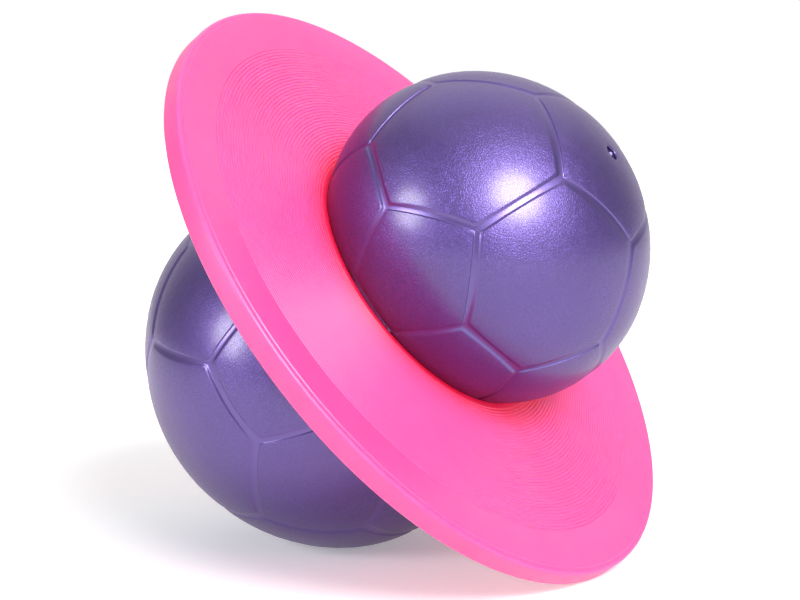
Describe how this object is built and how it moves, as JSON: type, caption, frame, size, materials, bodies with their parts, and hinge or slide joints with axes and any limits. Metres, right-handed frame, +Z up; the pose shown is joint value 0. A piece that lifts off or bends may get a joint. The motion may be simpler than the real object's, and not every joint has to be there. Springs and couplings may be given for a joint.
{
  "type": "bouncing balance disc",
  "caption": "Round foot platform held about the waist of an air-filled two-lobed ball, for standing on and bouncing; lies on its lower lobe and the platform's edge.",
  "frame": {"origin": "centre of the small patch on which the ball's lower lobe rests, on the floor", "axes": "+Z up from the floor, +X the way the ball's axis leans, +Y across, along the platform's diameter"},
  "size_m": [0.3062, 0.39, 0.3183],
  "materials": {
    "deck_plastic": "satin hot-pink moulded plastic with fine tread rings",
    "base_plastic": "matt pink moulded plastic",
    "ball_vinyl": "pearly purple vinyl with moulded seams and fine leather grain",
    "valve_rubber": "matt dark purple rubber"
  },
  "bodies": {
    "platform": {"deck": "deck_plastic", "platform_base": "base_plastic"},
    "ball": {"ball_upper": "ball_vinyl", "valve_sleeve": "valve_rubber"},
    "ball_foot": {"ball_lower": "ball_vinyl"},
    "plug": {"valve_plug": "valve_rubber"}
  },
  "joints": [
    {"name": "ball_twist", "type": "hinge", "parent": "platform", "child": "ball", "pos_m": [0.06128, 0, 0.16319], "axis": [0.8011, 0, 0.5986], "continuous": true},
    {"name": "bounce", "type": "slide", "parent": "ball", "child": "ball_foot", "axis": [0.8011, 0, 0.5986], "range_m": [0, 0.045], "stiffness_N_per_m": 9000, "deforming": ["ball_lower"]},
    {"name": "plug_pull", "type": "slide", "parent": "ball", "child": "plug", "axis": [0.8312, 0.0305, 0.5551], "range_m": [0, 0.02]}
  ]
}
